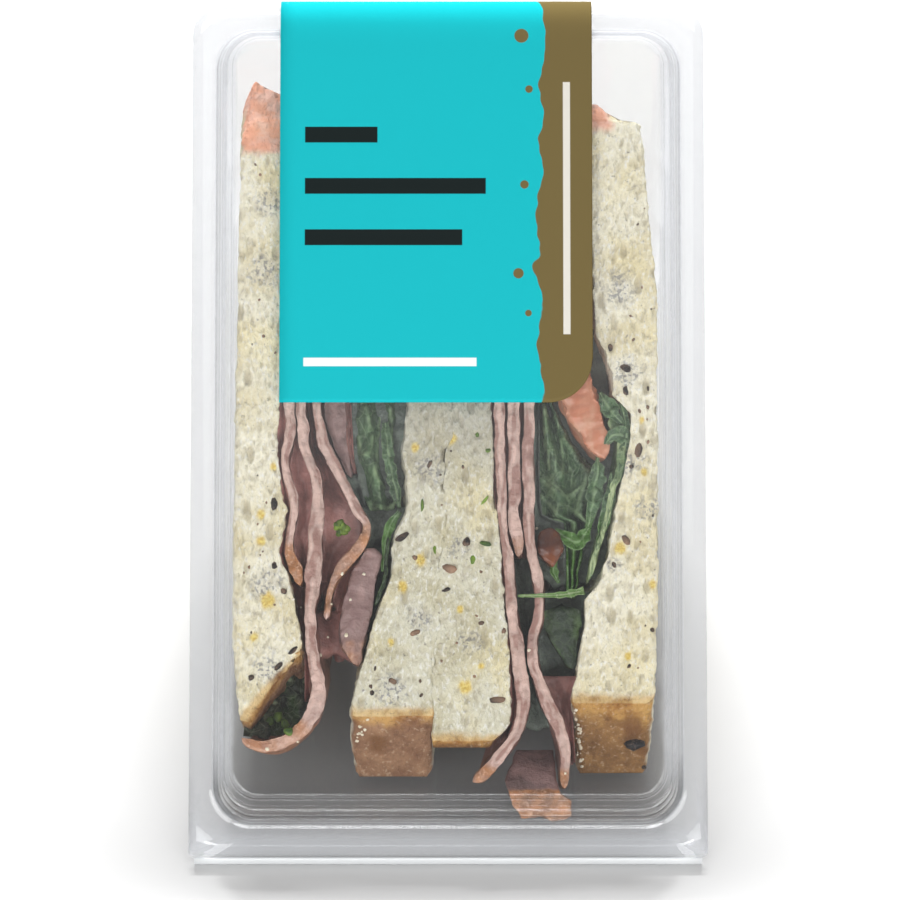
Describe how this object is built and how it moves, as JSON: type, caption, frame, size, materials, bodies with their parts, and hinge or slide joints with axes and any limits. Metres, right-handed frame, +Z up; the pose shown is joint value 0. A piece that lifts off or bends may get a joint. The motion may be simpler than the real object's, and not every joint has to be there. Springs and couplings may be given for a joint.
{
  "type": "blt sandwich",
  "caption": "Bacon, lettuce and tomato sandwich on grain bread, cut corner to corner, with its halves side by side in a clear hinged wedge pack sealed by a paper label.",
  "frame": {"origin": "on the ground, under the middle of the pack's box", "axes": "+Z up, +X to the right as seen from the window side, +Y from the hinge edge at the front towards the heel at the back"},
  "size_m": [0.1094, 0.1376, 0.1244],
  "materials": {
    "clear_plastic": "clear, smooth",
    "paper": "satin printed paper",
    "bread": "open crumb, matt",
    "ham": "moist satin",
    "lean_ham": "moist satin",
    "leaf": "waxy satin",
    "dark_leaf": "waxy satin",
    "leaf_rib": "waxy satin",
    "tomato": "wet"
  },
  "bodies": {
    "root": {"tray": "clear_plastic", "lid": "clear_plastic", "label": "paper", "bread_outer_left": "bread", "bread_inner_left": "bread", "bread_inner_right": "bread", "bread_outer_right": "bread", "ham_left_1": "ham", "ham_left_2": "ham", "ham_left_3": "ham", "ham_left_4": "lean_ham", "ham_left_5": "lean_ham", "ham_right_1": "ham", "ham_right_2": "ham", "ham_right_3": "ham", "ham_right_4": "lean_ham", "lettuce_left": "leaf", "lettuce_left_low": "dark_leaf", "lettuce_right": "leaf", "lettuce_right_low": "dark_leaf", "lettuce_right_rib": "leaf_rib", "tomato_slice": "tomato", "tomato_bit": "tomato"}
  },
  "joints": []
}
